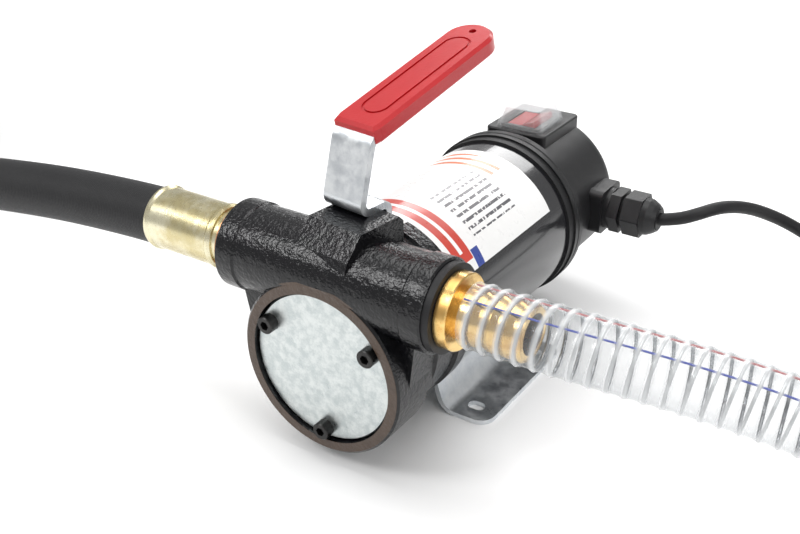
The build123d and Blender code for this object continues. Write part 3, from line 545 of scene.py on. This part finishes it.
# ---- suction hose ----
suction_route = [
    (66, -82.6, 90), (98, -82.3, 90), (131, -77, 88), (164, -72.5, 86), (198, -68.5, 82.5),
    (231, -67.5, 77), (260, -73, 70.5), (286, -84.5, 63.5), (314, -102, 56.5), (342, -120, 50.5),
    (368, -131, 47), (394, -137, 45.2), (421, -137.5, 44.8), (446, -133.3, 44.8), (459.6, -128.25, 44.8),
]
suction_start, suction_end = -70.0, 450.0
for step in range(1, int((suction_end - suction_start) / turn_step)):
    degrees = suction_start + step * turn_step
    level = 1 - eased(degrees, 120, 210)
    height = suction_d * (0.5 + level)
    suction_route.append(on_ring(suction_centre, suction_ring_r * bulge, degrees, height))
suction_route.append(on_ring(suction_centre, suction_ring_r, suction_end, suction_d / 2))
suction_line, suction_length = centreline(suction_route, 1.25)


def ridged(length, share):
    """Outer radius of the hose: a low ridge over each turn of the wire."""
    phase = (length / wire_pitch - share) % 1.0
    return suction_d / 2 - 0.9 + 0.9 * exp(-((phase - 0.5) / 0.17) ** 2)


suction_hose = tube("clear_hose", suction_line, ridged, 28, hose_wall, closed=False)
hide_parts("suction_hose", "suction_coil")


def spiral(name, line, radius, pitch, wire, material, share_step=1 / 14):
    """Wire wound in the hose wall, as a tube on points of the hose's own line."""
    frames = frames_on(line)
    gap = (line[1] - line[0]).length / mm
    count = int((len(line) - 1) * gap / (pitch * share_step))
    points = []
    for step in range(count):
        length = step * pitch * share_step
        index = min(len(line) - 2, int(length / gap))
        share = length / gap - index
        point = line[index].lerp(line[index + 1], share)
        side, up = frames[index]
        angle = 2 * pi * ((length / pitch - 0.5) % 1.0)
        points.append(point + (side * cos(angle) + up * sin(angle)) * radius * mm)
    return tube(name, points, lambda length, share: wire, 6, material)


wire_steel = turned_metal("wire_steel", (0.42, 0.43, 0.44), (0.22, 0.22, 0.23), 0.28)
hose_wire = spiral("hose_wire", suction_line, suction_d / 2 - 1.0, wire_pitch, 0.75, wire_steel)


def stripe(name, line, turn, radius, width, material):
    """Coloured tracer thread along the hose."""
    frames = frames_on(line)
    angle = 2 * pi * turn
    points = []
    for index in range(0, len(line), 4):
        side, up = frames[index]
        points.append(line[index] + (side * cos(angle) + up * sin(angle)) * radius * mm)
    return tube(name, points, lambda length, share: width, 6, material)


thread_depth, thread_r = 1.9, 0.45
thread_ring_r = suction_d / 2 - thread_depth
red_tracer = tracer("red_tracer", (0.65, 0.03, 0.02))
blue_tracer = tracer("blue_tracer", (0.03, 0.06, 0.5))
red_thread = stripe("red_thread", suction_line, 0.30, thread_ring_r, thread_r, red_tracer)
blue_thread = stripe("blue_thread", suction_line, 0.16, thread_ring_r, thread_r, blue_tracer)

# ---- delivery hose ----
delivery_route = [
    (-70, -82.6, 90), (-107, -82.6, 90), (-146, -83.3, 88), (-184, -85, 85.4), (-222, -87.6, 81.5),
    (-259, -86, 75), (-290, -76, 65.5), (-321, -57, 54), (-355, -32, 42), (-390, -5, 31),
    (-425, 22, 22), (-459, 47, 16.5), (-490, 70, 14.5), (-512, 86.2, 14.3),
]
delivery_start, delivery_end = 60.0, 510.0
for step in range(1, int((delivery_end - delivery_start) / turn_step)):
    degrees = delivery_start + step * turn_step
    level = eased(degrees, 260, 350)
    height = delivery_d * (0.5 + level)
    delivery_route.append(on_ring(delivery_centre, delivery_ring_r * bulge, degrees, height))
delivery_route += [
    (-703.2, 35, 42.9), (-714.2, 16, 43.4), (-721.9, -27.5, 46), (-714.2, -70.9, 50), (-692.2, -109.1, 54.5),
    (-658.4, -137.4, 58.8), (-617, -152.5, 62), (-575, -152.5, 62),
]
delivery_line, delivery_length = centreline(delivery_route, 4.0)
delivery_hose = tube(
    "black_hose", delivery_line, lambda length, share: delivery_d / 2, 40, wrapped_rubber,
)
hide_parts("delivery_hose", "delivery_coil", "delivery_tail")

# ---- power cable ----
cable_route = [
    (77.5, 100.5, 62), (87.5, 101, 64.5), (96.5, 105.5, 68.2), (103, 113.5, 70), (108.5, 124, 68.4),
    (114.5, 136.5, 64), (121, 149, 57.5), (130, 160, 50), (142, 167.4, 41.5), (158, 170, 33.5),
    (179, 168.8, 28), (204, 163.3, 25.4), (229.2, 154, 24.5),
]
turn_places = [(1, 3), (-1, 3), (-1, 2), (1, 2), (1, 1), (-1, 1), (-1, 0), (1, 0)]     # column, level
cable_start, cable_turned = 70.0, 7 * 360 + 340
for step in range(1, int(cable_turned / turn_step)):
    turned = step * turn_step
    number = int(turned // 360)
    share = eased(turned - 360 * number, 270, 360) if number < len(turn_places) - 1 else 0.0
    column, level = turn_places[number]
    next_column, next_level = turn_places[min(number + 1, len(turn_places) - 1)]
    radius = cable_ring_r + cable_d / 2 * (column + (next_column - column) * share)
    height = cable_d * (0.5 + level + (next_level - level) * share)
    cable_route.append(on_ring(cable_centre, radius * bulge, cable_start - turned, height))
cable_route += [
    (215, 156.5, 3.5), (222, 156.8, 3.6), (230, 157, 6), (238, 157.1, 9.8), (245, 157, 11), (250, 157, 11),
]
cable_length = centreline(cable_route, 2.0)[1]
power_lead = curve_from("power_lead", cable_route, cable_d / 2, rubber, 4)
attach(power_lead, "pump")
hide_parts("power_cable", "cable_coil", "cable_tail")


# ---- lights and floor ----
def area_light(name, place, aim, size, power):
    data = bpy.data.lights.new(name, "AREA")
    data.shape = "RECTANGLE"
    data.size, data.size_y = size
    data.energy = power
    made = bpy.data.objects.new(name, data)
    made.location = place
    made.rotation_euler = (Vector(aim) - Vector(place)).to_track_quat("-Z", "Y").to_euler()
    bpy.context.scene.collection.objects.link(made)


area_light("overhead", (0.0, 0.15, 1.5), (0.0, 0.0, 0.0), (1.6, 0.9), 16)
area_light("key", (-0.7, -0.9, 1.1), (0, -0.02, 0.06), (0.5, 0.5), 8)
area_light("fill", (1.2, -0.5, 0.8), (0, -0.02, 0.06), (0.5, 0.7), 5)
area_light("back", (-0.3, 1.3, 0.9), (0, 0, 0.08), (1.2, 0.4), 9)
world = bpy.data.worlds.new("studio")
world.use_nodes = True
world.node_tree.nodes["Background"].inputs["Color"].default_value = (1, 1, 1, 1)
world.node_tree.nodes["Background"].inputs["Strength"].default_value = 0.5
bpy.context.scene.world = world
bpy.context.scene.view_settings.view_transform = "Standard"

floor_shader = Shader("white_floor", (0.95, 0.95, 0.95), 0.6)
floor_shader.feed("Roughness", 0.55 + floor_shader.grain(3, 3.0) * 0.1)
floor_mesh = bpy.data.meshes.new("floor")
span = 6.0
corners = [(-span, -span, 0), (span, -span, 0), (span, span, 0), (-span, span, 0)]
floor_mesh.from_pydata(corners, [], [(0, 1, 2, 3)])
floor_mesh.materials.append(floor_shader.material)
floor = bpy.data.objects.new("floor", floor_mesh)
bpy.context.scene.collection.objects.link(floor)
